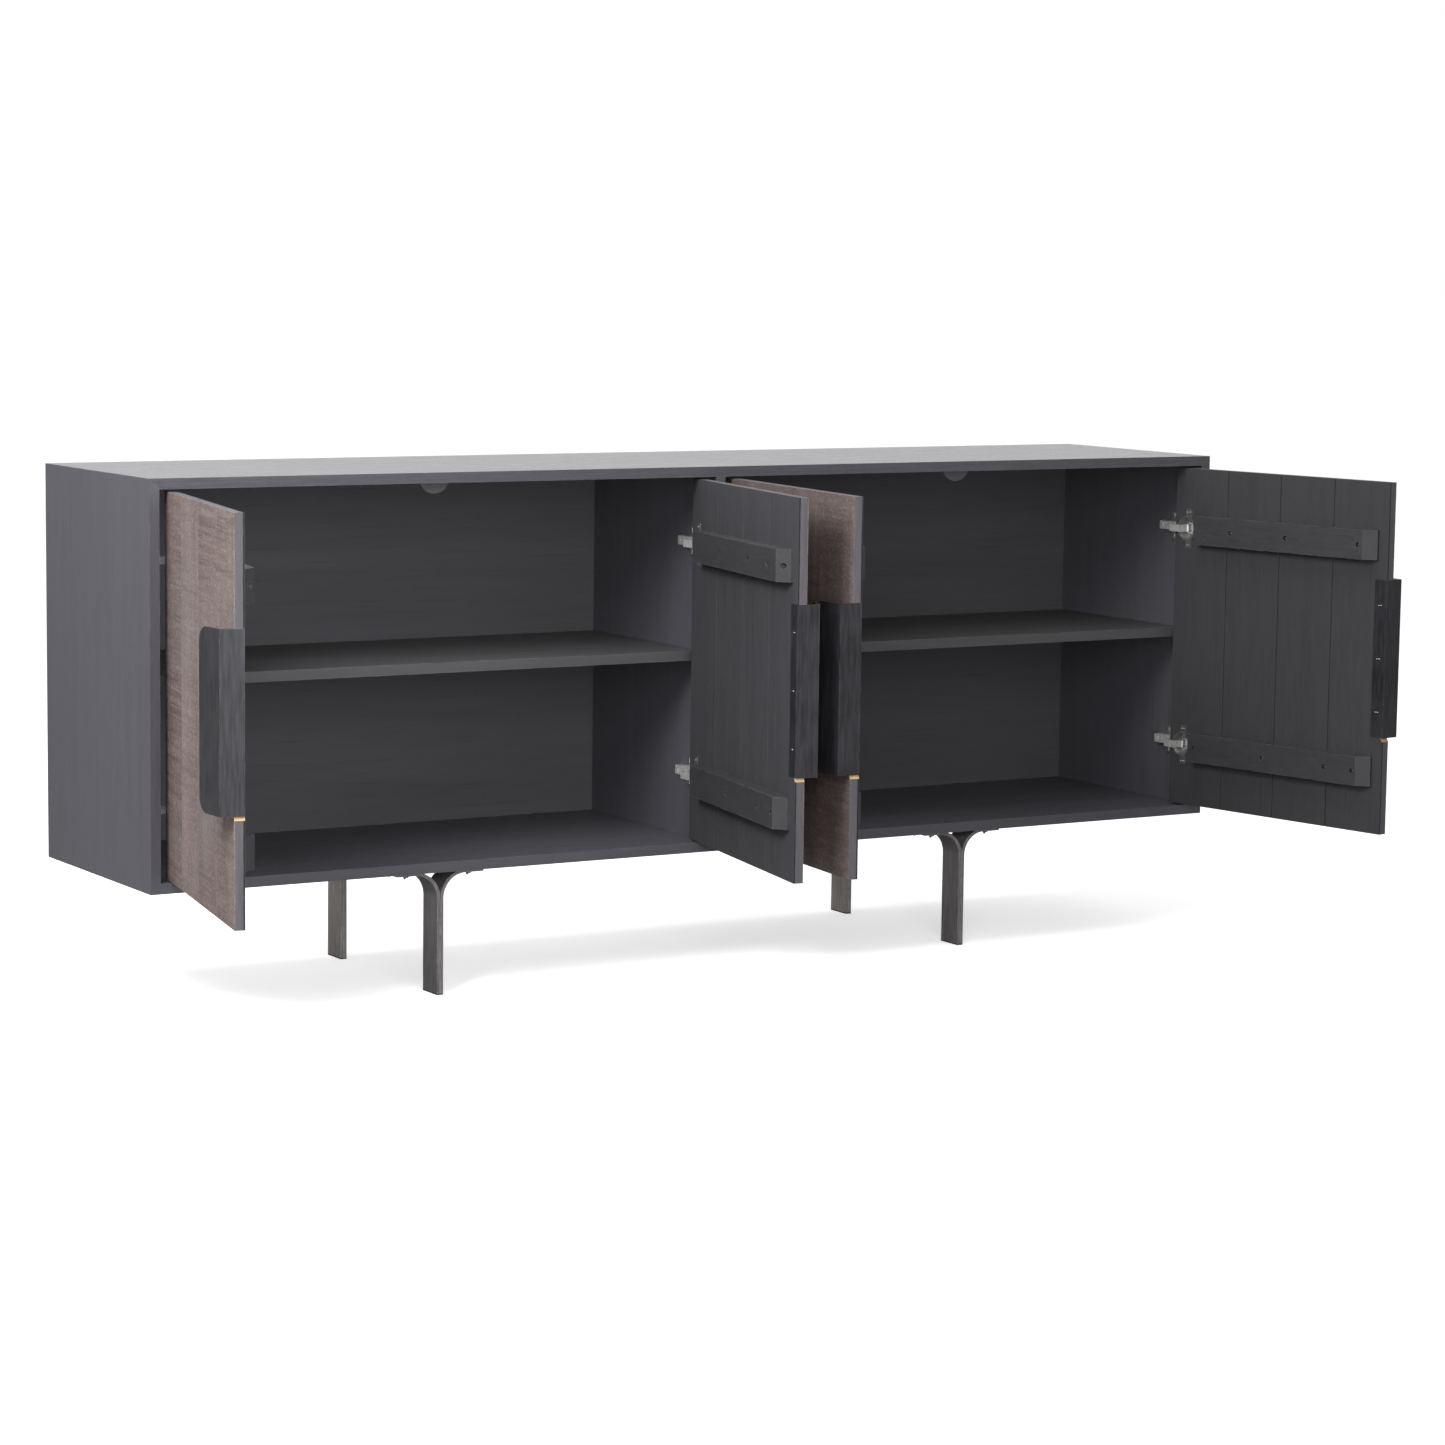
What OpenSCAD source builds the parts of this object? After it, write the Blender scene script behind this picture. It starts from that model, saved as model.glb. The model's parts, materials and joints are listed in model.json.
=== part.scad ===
// Sideboard buffet: a dark wooden case on four steel legs, with four plank doors on concealed hinges.
// X runs along the front, the doors face -Y, Z is up. The origin is on the floor under the middle of the case.

/* [Case] */
// Length of the case along X
case_w = 1800; // [1500:10:2100]
// Depth of the case along Y
case_d = 380; // [360:5:450]
// Height of the case without its legs
case_h = 570; // [540:5:640]
// Thickness of the top, bottom, sides, divider and shelves
panel_t = 15; // [12:1:22]
// Thickness of the back panel
back_t = 6; // [4:1:8]
// Distance from the case's back edge to the back panel
back_inset = 6; // [2:1:10]
// Distance from the case's front edge to the shelves
shelf_setback = 45; // [36:1:80]
// Height of the shelves' middle above the middle of the case
shelf_rise = 3; // [-60:1:60]

/* [Doors] */
// Thickness of the door planks
door_t = 14; // [14:1:18]
// Gap between a door and the panel that it hangs on
side_gap = 2.5; // [2:0.1:2.5]
// Gap between the two doors of one bay when they are shut
meeting_gap = 3; // [3:0.5:5]
// Gap above a door
top_gap = 3.5; // [2:0.5:5]
// Gap below a door
bottom_gap = 3; // [2:0.5:5]
// Planks in one door
planks = 4; // [4:1:4]
// Bevel on the inner edges where two planks meet
plank_bevel = 1.6; // [0.5:0.1:3]
// Opening angle of door A as drawn
open_a = 101.5; // [0:0.5:110]
// Opening angle of door B as drawn
open_b = 79; // [0:1:79]
// Opening angle of door C as drawn
open_c = 97; // [0:1:97]
// Opening angle of door D as drawn
open_d = 99.5; // [0:0.5:110]

/* [Cleats] */
// Height of the bars across the back of a door
cleat_h = 45; // [35:1:50]
// Thickness of those bars
cleat_t = 20; // [14:1:21]
// Distance from the door's top or bottom edge to the nearer bar's middle, and to the hinge's
cleat_inset = 95; // [80:1:120]
// Distance from the hinge edge to the start of a bar
cleat_start = 52; // [43:1:60]
// Distance from the free edge to the end of a bar
cleat_end = 18; // [6:1:30]
// Length and depth of the slope cut off the free end of a bar
cleat_slope = 16; // [8:1:16]

/* [Handles] */
// Height of a handle
handle_h = 240; // [180:5:300]
// Thickness of the handle's sheet
handle_t = 3; // [2:0.5:4]
// Depth of the part that wraps the door's edge, from the inner face outwards
handle_web = 33; // [28:1:35]
// Width of the strip let into the door's inner face
handle_strip = 24; // [18:1:30]
// Length of the wing in front of the door
handle_wing = 60; // [40:1:66]
// Angle by which the wing leans away from the door
handle_flare = 13; // [5:1:14]
// Radius of the wing's corners
handle_r = 20; // [8:1:25]
// Bare wood cut on a slope below the handle
handle_ledge = 5; // [3:0.5:8]

/* [Legs] */
// Height of the legs
leg_h = 180; // [120:5:220]
// Width of the flat bar, along Y
leg_bar_w = 45; // [35:1:55]
// Thickness of the flat bar
leg_bar_t = 4.8; // [4:0.2:6]
// Seam between the two bars of a leg
leg_seam = 0.3; // [0.1:0.1:0.6]
// Inner radius of the bend at the top
leg_bend = 35; // [25:1:40]
// Half the length of a leg's top along X
leg_reach = 69; // [60:1:80]
// Distance from the middle of the case to the legs along X
leg_x = 450; // [300:5:600]
// Distance from the case's front to the front legs
leg_front_inset = 14; // [5:1:60]
// Distance from the case's back to the rear legs
leg_rear_inset = 1; // [1:1:60]
// Thickness of the pad under a leg
glide_t = 2; // [1:0.5:3]

/* [Hidden] */

$fn = 48;
cut = 1;                    // how far a cutting shape passes the face that it cuts
front = -case_d / 2;        // Y of the case's front edge
case_bottom = leg_h;
case_top = leg_h + case_h;
case_mid = leg_h + case_h / 2;
bay_w = (case_w - 3 * panel_t) / 2;
back_y = case_d / 2 - back_inset - back_t;
shelf_gap = 0.5;            // room between a shelf and the panels beside it

door_w = (bay_w - 2 * side_gap - meeting_gap) / 2;
door_z0 = case_bottom + panel_t + bottom_gap;
door_z1 = case_top - panel_t - top_gap;
door_h = door_z1 - door_z0;
door_zm = (door_z0 + door_z1) / 2;
plank_w = door_w / planks;
hinge_z = [door_z0 + cleat_inset, door_z1 - cleat_inset];

// Hinge: all in a door's own plan, with u from the hinge edge along the door and v inwards from its outer face
pivot_u = 18;
pivot_v = 6;
pin_r = 1.25;
pin_len = 16.6;
pin_fit = 0.05;             // room round the pin in the arm
ear_fit = 0.02;             // room round the pin in the cup's ears
cup_u = 22.5;               // middle of the cup
cup_r = 17.5;
cup_wall = 1;
cup_fit = 0.1;              // room round the cup in its pocket
cup_depth = 11.7;
cup_floor = 0.5;
cup_rim = 1.5;              // how far the cup's flange passes its pocket
flange_t = 0.8;
ear_z = [6.3, 8.3];         // height of the cup's ears above and below its middle
ear_half = 3.5;
barrel_r = 2.2;
arm_half_z = 5.5;
arm_t = 2.5;
hook_u = 16;                // the arm's hook stands this far from the pin
arm_v = 21.5;               // the arm crosses to the wall this far behind the pin
arm_bar_t = 3;              // thickness of the bar that crosses
arm_box_u = 10;             // how far the arm's box stands out from the wall plate
arm_box_half = 6.5;
arm_back_v = 84;            // the arm's far end behind the pin
arm_hole_r = 3;             // holes over the adjusting screws
arm_hole_v = [33.5, 76];    // their middles behind the pin
plate_t = 2;
plate_v = [56, 96];         // the wall plate's ends, from the case's front
plate_half = 7;             // half the height of the plate's strip
plate_wing_w = 16;          // width of the wings that its screws hold
plate_wing_half = 22;
plate_screw_v = plate_v[0] + plate_wing_w / 2;
plate_screw_z = 16;
cup_screw_u = 28;
cup_screw_z = 26;
cup_wing = [12, 62];        // width and height of the plate on the cup

screw_r = 2;
screw_head_r = 3.8;
screw_head_t = 1.4;
screw_fit = 0.06;           // room round a screw
screw_len = 11;
small_screw_len = 8;
divider_screw_len = 6;      // short, because the divider has screws in both faces
cleat_screw_len = 21;
cleat_screws_upper = [171, 288, 366];
cleat_screws_upper_d = [133, 246, 391];   // door D's upper bar, which has no screw in its slope
cleat_screws_lower = [69, 211, 338, 393];
slope_screw_from_end = 8;   // the screw in an upper bar's slope: from the bar's end
slope_screw_v = 18;         // and the level of its head's bottom, from the door's outer face
cleat_start_bevel = 4;      // bevel on a cleat's end nearer the hinge
counterbore = 6;            // depth to which a cleat's screw heads are sunk
handle_screw_step = 81;
shelf_pin_r = 2.5;
shelf_pin_depth = 7;        // the part in the wall
shelf_pin_out = 9;          // the part under the shelf
shelf_pin_inset = 40;
leg_screw_x = [50, 61];
leg_screw_y = 14;
back_screw_count = 6;
tab_w = 48;
tab_drop = 18;
tab_t = 4;
tab_v = 46;                 // from the case's front to the tab under the top
shelf_z = case_mid + shelf_rise - panel_t / 2;
pin_rows = [front + shelf_setback + shelf_pin_inset, back_y - shelf_pin_inset];

wood_dark = "#35343a";
wood_case = "#3b3a41";
wood_face = "#8b7b76";
wood_edge = "#6f615c";
iron = "#2b2b2e";
nickel = "#c9cacc";

leg_front_y = front + leg_front_inset + leg_bar_w / 2;
leg_rear_y = case_d / 2 - leg_rear_inset - leg_bar_w / 2;

// --- shared shapes -------------------------------------------------------

// A panhead screw along +Z, with the underside of its head at z = 0 and its shank below
module screw(len) {
    cylinder(r = screw_head_r, h = screw_head_t);
    translate([0, 0, -len]) cylinder(r = screw_r, h = len + screw_head_t / 2);
}

// The hole for that screw's shank
module screw_hole(len) {
    translate([0, 0, -len]) cylinder(r = screw_r + screw_fit, h = len + cut);
}

// Puts a shape drawn along +Z so that it points along +X or +Y
module facing_px() { rotate([0, 90, 0]) children(); }
module facing_py() { rotate([-90, 0, 0]) children(); }

// Extrudes an outline drawn in X and Z along Y, from y0 to y1
module along_y(y0, y1) {
    translate([0, y1, 0]) rotate([90, 0, 0]) linear_extrude(y1 - y0) children();
}

// The wall that a door hangs on, and which way the door lies from it: 1 to the right, -1 to the left
function door_wall(name) =
    name == "a" ? -case_w / 2 + panel_t :
    name == "b" ? -panel_t / 2 :
    name == "c" ? panel_t / 2 : case_w / 2 - panel_t;
function door_hand(name) = (name == "a" || name == "c") ? 1 : -1;
function door_angle(name) =
    name == "a" ? open_a : name == "b" ? open_b : name == "c" ? open_c : open_d;

// Puts a shape drawn at a wall, with u from the wall and v from the case's front, where a door hangs
module at_wall(name) {
    translate([door_wall(name), front, 0]) {
        if (door_hand(name) > 0) children();
        else mirror([1, 0, 0]) children();
    }
}

// Puts a shape drawn in a door's own plan where the door is, turned open about its pins
module on_door(name) {
    at_wall(name)
        translate([side_gap + pivot_u, pivot_v, 0])
            rotate([0, 0, -door_angle(name)])
                translate([-pivot_u, -pivot_v, 0]) children();
}

// --- case ----------------------------------------------------------------

// Outline of one mitred board of the case, lying along X with its outer face up
module mitred_board(length) {
    polygon([[-length / 2, 0], [length / 2, 0],
             [length / 2 - panel_t, -panel_t], [-length / 2 + panel_t, -panel_t]]);
}

module top_panel() {
    color(wood_case) along_y(front, case_d / 2) translate([0, case_top]) mitred_board(case_w);
}

module bottom_panel() {
    color(wood_case) difference() {
        along_y(front, case_d / 2) translate([0, case_bottom]) mirror([0, 1]) mitred_board(case_w);
        leg_screw_places() screw_hole(screw_len);
    }
}

module side_panel(hand) {
    door = hand < 0 ? "a" : "d";
    color(wood_case) difference() {
        along_y(front, case_d / 2)
            translate([hand * case_w / 2, case_mid]) rotate(-hand * 90) mitred_board(case_h);
        plate_screw_places(door) screw_hole(small_screw_len);
        pin_places(door) shelf_pin_hole();
    }
}

module centre_divider() {
    color(wood_case) difference() {
        translate([-panel_t / 2, front, case_bottom + panel_t])
            cube([panel_t, back_y - front, case_h - 2 * panel_t]);
        for (door = ["b", "c"]) {
            plate_screw_places(door) screw_hole(divider_screw_len);
            pin_places(door) shelf_pin_hole();
        }
        back_screw_places() screw_hole(screw_len);
    }
}

module back_panel() {
    color(wood_dark) difference() {
        translate([-case_w / 2 + panel_t, back_y, case_bottom + panel_t])
            cube([case_w - 2 * panel_t, back_t, case_h - 2 * panel_t]);
        back_screw_places() screw_hole(back_t + cut);
    }
}

module shelf(hand) {
    color(wood_dark)
        translate([hand * (panel_t / 2 + bay_w / 2) - bay_w / 2 + shelf_gap, front + shelf_setback, shelf_z])
            cube([bay_w - 2 * shelf_gap, back_y - front - shelf_setback, panel_t]);
}

// Places of a bay's shelf pins in the wall that a door hangs on; +Z points into the bay
module pin_places(door) {
    at_wall(door) for (y = pin_rows)
        translate([0, y - front, shelf_z - shelf_pin_r]) facing_px() children();
}

module shelf_pin_hole() {
    translate([0, 0, -shelf_pin_depth]) cylinder(r = shelf_pin_r + screw_fit, h = shelf_pin_depth + cut);
}

module shelf_pins() {
    color(nickel) for (door = ["a", "b", "c", "d"])
        pin_places(door) translate([0, 0, -shelf_pin_depth])
            cylinder(r = shelf_pin_r, h = shelf_pin_depth + shelf_pin_out);
}

// A half-round tab under the top, in the middle of each bay
module ceiling_tabs() {
    tab_r = tab_w * tab_w / 8 / tab_drop + tab_drop / 2;
    color(wood_dark) for (hand = [-1, 1])
        translate([hand * (panel_t + bay_w) / 2, 0, case_top - panel_t])
            along_y(front + tab_v, front + tab_v + tab_t) intersection() {
                translate([0, tab_r - tab_drop])
                    circle(r = tab_r, $fn = 64);
                translate([-tab_w, -tab_drop]) square([2 * tab_w, tab_drop]);
            }
}

// Screws that hold the back panel to the divider
module back_screw_places() {
    for (i = [0 : back_screw_count - 1])
        translate([0, back_y + back_t, case_bottom + case_h * (i + 0.5) / back_screw_count])
            facing_py() children();
}

// --- legs ----------------------------------------------------------------

// One flat bar, bent outwards at the top, drawn in X and Z to the right of the leg's middle
module leg_bar_outline() {
    top = leg_h - leg_bend - leg_bar_t;
    bend_x = leg_seam / 2 + leg_bar_t + leg_bend;
    translate([leg_seam / 2, glide_t]) square([leg_bar_t, top - glide_t]);
    translate([bend_x, top]) intersection() {
        difference() {
            circle(r = leg_bend + leg_bar_t, $fn = 96);
            circle(r = leg_bend, $fn = 96);
        }
        translate([-leg_bend - leg_bar_t, 0]) square(leg_bend + leg_bar_t);
    }
    translate([bend_x, leg_h - leg_bar_t]) square([leg_reach - bend_x, leg_bar_t]);
}

module leg(x, y) {
    color(iron) difference() {
        translate([x, 0, 0]) {
            along_y(y - leg_bar_w / 2, y + leg_bar_w / 2) leg_bar_outline();
            along_y(y - leg_bar_w / 2, y + leg_bar_w / 2) mirror([1, 0]) leg_bar_outline();
        }
        leg_screw_places() screw_hole(screw_len);
    }
}

// Places of the screws through the legs' tops; +Z points down, out of the bottom panel
module leg_screw_places() {
    for (x = [-leg_x, leg_x], y = [leg_front_y, leg_rear_y], hand = [-1, 1], i = [0, 1])
        translate([x + hand * leg_screw_x[i], y + (i == 0 ? -1 : 1) * leg_screw_y, leg_h - leg_bar_t])
            rotate([180, 0, 0]) children();
}

module leg_screws() {
    color(iron) leg_screw_places() screw(screw_len);
}

module leg_glides() {
    color("#1a1a1a") for (x = [-leg_x, leg_x], y = [leg_front_y, leg_rear_y])
        translate([x - leg_bar_t - leg_seam / 2, y - leg_bar_w / 2, 0])
            cube([2 * leg_bar_t + leg_seam, leg_bar_w, glide_t]);
}

// --- hinges on the case --------------------------------------------------

// Places of the two screws of each wall plate; +Z points away from the wall
module plate_screw_places(door) {
    at_wall(door) for (z = hinge_z, side = [-1, 1])
        translate([plate_t, plate_screw_v, z + side * plate_screw_z]) facing_px() children();
}

module hinge_plate() {
    difference() {
        union() {
            translate([0, plate_v[0], -plate_half])
                cube([plate_t, plate_v[1] - plate_v[0], 2 * plate_half]);
            translate([0, plate_v[0], -plate_wing_half])
                cube([plate_t, plate_wing_w, 2 * plate_wing_half]);
        }
        for (side = [-1, 1])
            translate([plate_t, plate_screw_v, side * plate_screw_z]) facing_px() screw_hole(plate_t + cut);
    }
}

module hinge_plates() {
    color(nickel) for (door = ["a", "b", "c", "d"])
        at_wall(door) for (z = hinge_z) translate([0, 0, z]) hinge_plate();
}

// The arm: a box along the wall plate, a bar that crosses to the hook, and a hook that ends round the pin
module hinge_arm() {
    wall_u = plate_t - side_gap - pivot_u;
    hook_end = hook_u + arm_t / 2;
    difference() {
        union() {
            cylinder(r = barrel_r, h = 2 * arm_half_z, center = true);
            translate([0, -arm_t / 2, -arm_half_z]) cube([hook_end, arm_t, 2 * arm_half_z]);
            translate([hook_u - arm_t / 2, -arm_t / 2, -arm_half_z])
                cube([arm_t, arm_v + arm_bar_t + arm_t / 2, 2 * arm_half_z]);
            translate([wall_u, arm_v, -arm_half_z]) cube([hook_end - wall_u, arm_bar_t, 2 * arm_half_z]);
            translate([wall_u, arm_v, -arm_box_half]) cube([arm_box_u, arm_back_v - arm_v, 2 * arm_box_half]);
        }
        cylinder(r = pin_r + pin_fit, h = 4 * arm_half_z, center = true);
        for (v = arm_hole_v)
            translate([wall_u + arm_box_u / 2, v, 0]) facing_px() cylinder(r = arm_hole_r, h = arm_box_u);
    }
}

module hinge_arms() {
    color(nickel) for (door = ["a", "b", "c", "d"])
        at_wall(door) for (z = hinge_z)
            translate([side_gap + pivot_u, pivot_v, z]) hinge_arm();
}

module case_screws() {
    color(nickel) {
        for (door = ["a", "d"]) plate_screw_places(door) screw(small_screw_len);
        for (door = ["b", "c"]) plate_screw_places(door) screw(divider_screw_len);
        back_screw_places() screw(screw_len);
    }
}

// --- doors ---------------------------------------------------------------

// Height of the part of the free edge that is cut away for the handle
handle_z0 = door_zm - handle_h / 2;

// Space cut from a door for its handle, with a slope of bare wood at the bottom
module handle_pocket() {
    translate([door_w - handle_t, -cut, handle_z0]) cube([handle_t + cut, door_t + 2 * cut, handle_h]);
    translate([door_w - handle_strip, door_t - handle_t, handle_z0])
        cube([handle_strip + cut, handle_t + cut, handle_h]);
    along_y(-cut, door_t + cut)
        polygon([[door_w - handle_t, handle_z0], [door_w + cut, handle_z0],
                 [door_w + cut, handle_z0 - handle_ledge * (1 + cut / handle_t)]]);
}

module plank_outline(i) {
    u0 = i * plank_w;
    u1 = u0 + plank_w;
    bevel0 = i == 0 ? 0.01 : plank_bevel;
    bevel1 = i == planks - 1 ? 0.01 : plank_bevel;
    polygon([[u0, 0], [u1, 0], [u1, door_t - bevel1], [u1 - bevel1, door_t],
             [u0 + bevel0, door_t], [u0, door_t - bevel0]]);
}

module plank(door, i) {
    color(wood_face) on_door(door) difference() {
        translate([0, 0, door_z0]) linear_extrude(door_h) plank_outline(i);
        if (i == 0) for (z = hinge_z) translate([cup_u, door_t - cup_depth, z])
            facing_py() cylinder(r = cup_r + cup_fit, h = cup_depth + cut, $fn = 96);
        if (i == planks - 1) {
            handle_pocket();
            handle_screw_places() screw_hole(small_screw_len);
        }
        if (i == 0) cup_screw_places() screw_hole(small_screw_len);
        cleat_screw_places(door) screw_hole(cleat_screw_len);
        slope_screw_place(door) screw_hole(screw_len);
    }
}

// Places of the screws through both cleats; +Z points away from the door, from the bottom of the counterbores
module cleat_screw_places(door) {
    upper = door == "d" ? cleat_screws_upper_d : cleat_screws_upper;
    for (k = [0, 1], u = k == 0 ? cleat_screws_lower : upper)
        translate([u, door_t + cleat_t - counterbore, hinge_z[k]]) facing_py() children();
}

// Place of the shorter screw in the slope of an upper cleat
module slope_screw_place(door) {
    if (door != "d") translate([door_w - cleat_end - slope_screw_from_end, slope_screw_v, hinge_z[1]])
        facing_py() children();
}

module cleat(door, k) {
    end = door_w - cleat_end;
    color(wood_dark) on_door(door) difference() {
        translate([0, 0, hinge_z[k] - cleat_h / 2]) linear_extrude(cleat_h)
            polygon([[cleat_start, door_t], [end, door_t], [end, door_t + cleat_t - cleat_slope],
                     [end - cleat_slope, door_t + cleat_t],
                     [cleat_start + cleat_start_bevel, door_t + cleat_t],
                     [cleat_start, door_t + cleat_t - cleat_start_bevel]]);
        cleat_screw_places(door) {
            screw_hole(cleat_screw_len);
            cylinder(r = screw_head_r + screw_fit, h = counterbore + cut);
        }
        slope_screw_place(door) {
            screw_hole(screw_len);
            cylinder(r = screw_head_r + screw_fit, h = cleat_t);
        }
    }
}

// Outline of the handle in the door's plan: the strip, the web round the edge, and the flared wing
module handle_outline() {
    corner = [door_w, door_t - handle_web];
    along = [-cos(handle_flare), -sin(handle_flare)];
    inward = [-sin(handle_flare), cos(handle_flare)];
    tip = corner + handle_wing * along;
    polygon([[door_w, door_t], corner, tip, tip + handle_t * inward,
             [door_w - handle_t, corner[1] + handle_t * (1 - sin(handle_flare)) / cos(handle_flare)],
             [door_w - handle_t, door_t - handle_t], [door_w - handle_strip, door_t - handle_t],
             [door_w - handle_strip, door_t]]);
}

module handle(door) {
    tip_u = door_w - handle_wing * cos(handle_flare);
    color(iron) on_door(door) difference() {
        translate([0, 0, handle_z0]) linear_extrude(handle_h) handle_outline();
        for (end = [0, 1]) translate([0, 0, handle_z0 + end * handle_h]) mirror([0, 0, end]) difference() {
            translate([tip_u - cut, -handle_web - handle_wing, -cut])
                cube([handle_r + cut, handle_web + handle_wing - 1, handle_r + cut]);
            translate([tip_u + handle_r, 0, handle_r])
                rotate([90, 0, 0]) cylinder(r = handle_r, h = handle_web + handle_wing + cut, $fn = 96);
        }
        handle_screw_places() screw_hole(handle_t + cut);
    }
}

module handle_screw_places() {
    for (i = [-1 : 1])
        translate([door_w - handle_strip / 2, door_t, door_zm + i * handle_screw_step]) facing_py() children();
}

module cup_screw_places() {
    for (z = hinge_z, side = [-1, 1])
        translate([cup_screw_u, door_t + flange_t, z + side * cup_screw_z]) facing_py() children();
}

module hinge_cup() {
    difference() {
        union() {
            translate([cup_u, door_t - cup_depth, 0]) facing_py() cylinder(r = cup_r, h = cup_depth, $fn = 96);
            translate([cup_u, door_t, 0]) facing_py() cylinder(r = cup_r + cup_rim, h = flange_t, $fn = 96);
            translate([cup_screw_u - cup_wing[0] / 2, door_t, -cup_wing[1] / 2])
                cube([cup_wing[0], flange_t, cup_wing[1]]);
        }
        translate([cup_u, door_t - cup_depth + cup_floor, 0])
            facing_py() cylinder(r = cup_r - cup_wall, h = cup_depth + cut, $fn = 96);
        for (side = [-1, 1])
            translate([cup_screw_u, door_t + flange_t, side * cup_screw_z]) facing_py() screw_hole(flange_t + cut);
    }
    ear_v = door_t - cup_depth + cup_floor / 2;
    for (side = [0, 1]) mirror([0, 0, side]) difference() {
        translate([pivot_u - ear_half, ear_v, ear_z[0]])
            cube([2 * ear_half, pivot_v + ear_half - ear_v, ear_z[1] - ear_z[0]]);
        translate([pivot_u, pivot_v, 0]) cylinder(r = pin_r + ear_fit, h = 2 * ear_z[1]);
    }
}

module hinge_cups(door) {
    color(nickel) on_door(door) for (z = hinge_z) translate([0, 0, z]) hinge_cup();
}

module hinge_pins(door) {
    color(nickel) on_door(door) for (z = hinge_z)
        translate([pivot_u, pivot_v, z]) cylinder(r = pin_r, h = pin_len, center = true);
}

module door_screws(door) {
    color(nickel) on_door(door) {
        cleat_screw_places(door) screw(cleat_screw_len);
        slope_screw_place(door) screw(screw_len);
        handle_screw_places() screw(small_screw_len);
        cup_screw_places() screw(small_screw_len);
    }
}

// Draws the asked-for sub-parts of one door
module door_nodes(door) {
    prefix = str("door_", door, "_");
    for (i = [0 : planks - 1])
        plank(door, i);
    cleat(door, 1);
    cleat(door, 0);
    handle(door);
    hinge_cups(door);
    hinge_pins(door);
    door_screws(door);
}

top_panel();
bottom_panel();
side_panel(-1);  // side_panel_left
side_panel(1);  // side_panel_right
centre_divider();
back_panel();
shelf(-1);  // shelf_left
shelf(1);  // shelf_right
shelf_pins();
ceiling_tabs();
leg(-leg_x, leg_front_y);  // leg_front_left
leg(leg_x, leg_front_y);  // leg_front_right
leg(-leg_x, leg_rear_y);  // leg_rear_left
leg(leg_x, leg_rear_y);  // leg_rear_right
leg_screws();
leg_glides();
hinge_plates();
hinge_arms();
case_screws();
for (door = ["a", "b", "c", "d"]) door_nodes(door);
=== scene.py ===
"""Looks for a sideboard buffet: a dark wooden case with four plank doors, on flat-bar steel legs."""

import json
import math
import random

import bmesh
import bpy
from mathutils import Matrix, Vector


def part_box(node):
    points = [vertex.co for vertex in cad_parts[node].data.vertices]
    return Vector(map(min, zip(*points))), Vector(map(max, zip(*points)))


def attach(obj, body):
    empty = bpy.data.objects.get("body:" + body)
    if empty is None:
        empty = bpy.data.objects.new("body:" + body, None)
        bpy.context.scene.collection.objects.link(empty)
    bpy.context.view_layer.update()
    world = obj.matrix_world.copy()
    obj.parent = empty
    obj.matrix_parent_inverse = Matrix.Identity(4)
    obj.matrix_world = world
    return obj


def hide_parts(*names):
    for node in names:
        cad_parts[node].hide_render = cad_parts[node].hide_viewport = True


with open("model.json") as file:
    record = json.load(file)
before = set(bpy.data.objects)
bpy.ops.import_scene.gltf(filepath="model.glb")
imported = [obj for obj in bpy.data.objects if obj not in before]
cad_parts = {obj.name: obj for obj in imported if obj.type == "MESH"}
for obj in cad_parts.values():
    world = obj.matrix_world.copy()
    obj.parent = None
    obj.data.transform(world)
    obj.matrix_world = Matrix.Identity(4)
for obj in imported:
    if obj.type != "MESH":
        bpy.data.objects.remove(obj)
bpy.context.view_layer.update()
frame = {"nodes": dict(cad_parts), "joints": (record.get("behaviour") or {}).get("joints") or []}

MM = 0.001
DOORS = "abcd"                                        # from left to right
HUNG_LEFT = "ac"                                      # doors hinged on their left edge
PLANKS = 4                                            # in each door, counted from the hinge
DOOR_T = 14 * MM
FRONT_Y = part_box("side_panel_left")[0].y              # plane of the case's front edges

nodes = frame["nodes"]
joints = {joint["child"]: joint for joint in frame["joints"]}

# Colours, in linear light; a pair is a finish's dark and light shades
CASE_STAIN = (0.084, 0.083, 0.099), (0.106, 0.104, 0.121)
SHELF_STAIN = (0.072, 0.070, 0.074), (0.104, 0.101, 0.106)
BACK_STAIN = (0.088, 0.087, 0.098), (0.112, 0.110, 0.123)
TAB_STAIN = (0.10, 0.098, 0.105), (0.17, 0.165, 0.17)
CLEAT_STAIN = (0.038, 0.037, 0.041), (0.049, 0.048, 0.053)
RUBBED_STAIN = (0.26, 0.25, 0.26)
SAWN_BROWN = (0.18, 0.132, 0.122), (0.40, 0.318, 0.30)
WEATHERED = (0.20, 0.195, 0.205)
EDGE_GREY = (0.078, 0.074, 0.084), (0.168, 0.158, 0.174)
CHARCOAL = (0.050, 0.050, 0.056), (0.061, 0.060, 0.067)
GROOVE_BLACK = (0.014, 0.014, 0.016)
RAW_WOOD = (0.62, 0.42, 0.22)
HANDLE_STEEL = (0.018, 0.018, 0.022), (0.050, 0.049, 0.057)
# painted light: the leg steel is made lighter to stand in for light, the rear legs lighter than the front
FRONT_LEG_STEEL_PAINTED_LIGHT = (0.18, 0.172, 0.178), (0.33, 0.31, 0.305)
REAR_LEG_STEEL_PAINTED_LIGHT = (0.32, 0.30, 0.285), (0.54, 0.50, 0.47)
GLIDE_BLACK = (0.018, 0.018, 0.018)
BRIGHT_NICKEL = (0.9, 0.9, 0.88)
PRESSED_NICKEL = (0.56, 0.555, 0.55)
NICKEL_GRIME = (0.22, 0.215, 0.2)
DOOR_PAINTED_SHADE = {"a": 1.0, "b": 1.0, "c": 0.58, "d": 0.85}    # painted shade: how far each door's colours are darkened, most on door c, which stands in the shadow of door b
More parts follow.
